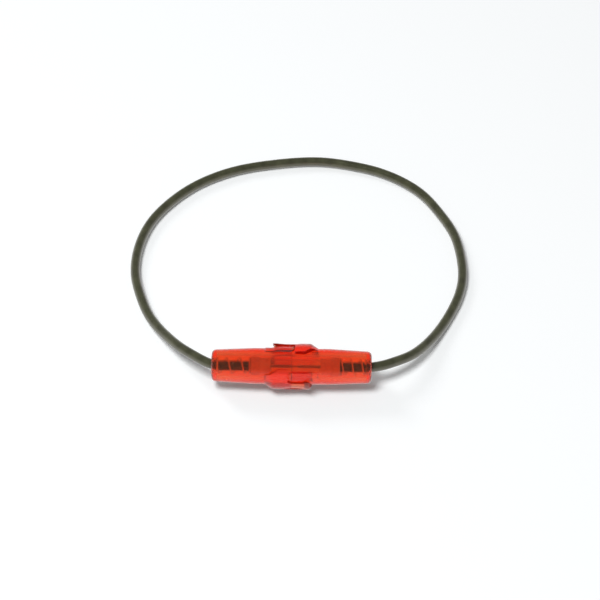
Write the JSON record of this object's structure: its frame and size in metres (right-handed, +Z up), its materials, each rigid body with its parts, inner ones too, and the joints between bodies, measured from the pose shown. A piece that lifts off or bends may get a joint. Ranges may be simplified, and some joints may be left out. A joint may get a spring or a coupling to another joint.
{
  "type": "in-line fuse holder",
  "caption": "Closed twist-lock in-line holder of translucent red plastic for a glass-tube fuse, on an uncut loop of olive black insulated lead.",
  "frame": {"origin": "middle of the closed holder's footprint, on the surface that its claws stand on", "axes": "+X along the holder to its right half, +Y away from the holder into the loop of lead, +Z up"},
  "size_m": [0.1358, 0.1387, 0.0176],
  "materials": {
    "red_shell": "translucent red moulded plastic, smooth and glossy",
    "spring_steel": "drawn spring wire",
    "tinned_contact": "tinned brass sheet",
    "solder": "set solder, dull grey",
    "copper": "stranded copper",
    "insulation": "olive black vinyl insulation, soft gloss",
    "glass": "clear drawn glass tube",
    "fuse_cap": "nickel-plated brass cap",
    "fuse_strip": "zinc melting strip"
  },
  "bodies": {
    "fixed_half": {"left_shell": "red_shell", "left_spring": "spring_steel", "left_contact": "tinned_contact", "right_contact": "tinned_contact", "left_joint_solder": "solder", "right_joint_solder": "solder", "left_core": "copper", "right_core": "copper", "left_insulation": "insulation", "right_insulation": "insulation", "lead_loop": "insulation", "fuse_glass": "glass", "left_fuse_cap": "fuse_cap", "right_fuse_cap": "fuse_cap", "fuse_strip": "fuse_strip", "left_fuse_solder": "solder", "right_fuse_solder": "solder"},
    "spring_follower": {"right_spring": "spring_steel"},
    "twist_half": {"right_shell": "red_shell"}
  },
  "joints": [
    {"name": "right_half_slide", "type": "slide", "parent": "fixed_half", "child": "spring_follower", "axis": [1, 0, 0], "range_m": [0, 0.002], "deforming": ["right_spring"]},
    {"name": "right_half_twist", "type": "hinge", "parent": "spring_follower", "child": "twist_half", "pos_m": [0, 0, 0.0088], "axis": [-1, 0, 0], "range_deg": [0, 25]}
  ],
  "couplings": [
    {"joint": "right_half_slide", "follows": "right_half_twist", "m_per_rad": 0.0045837}
  ]
}
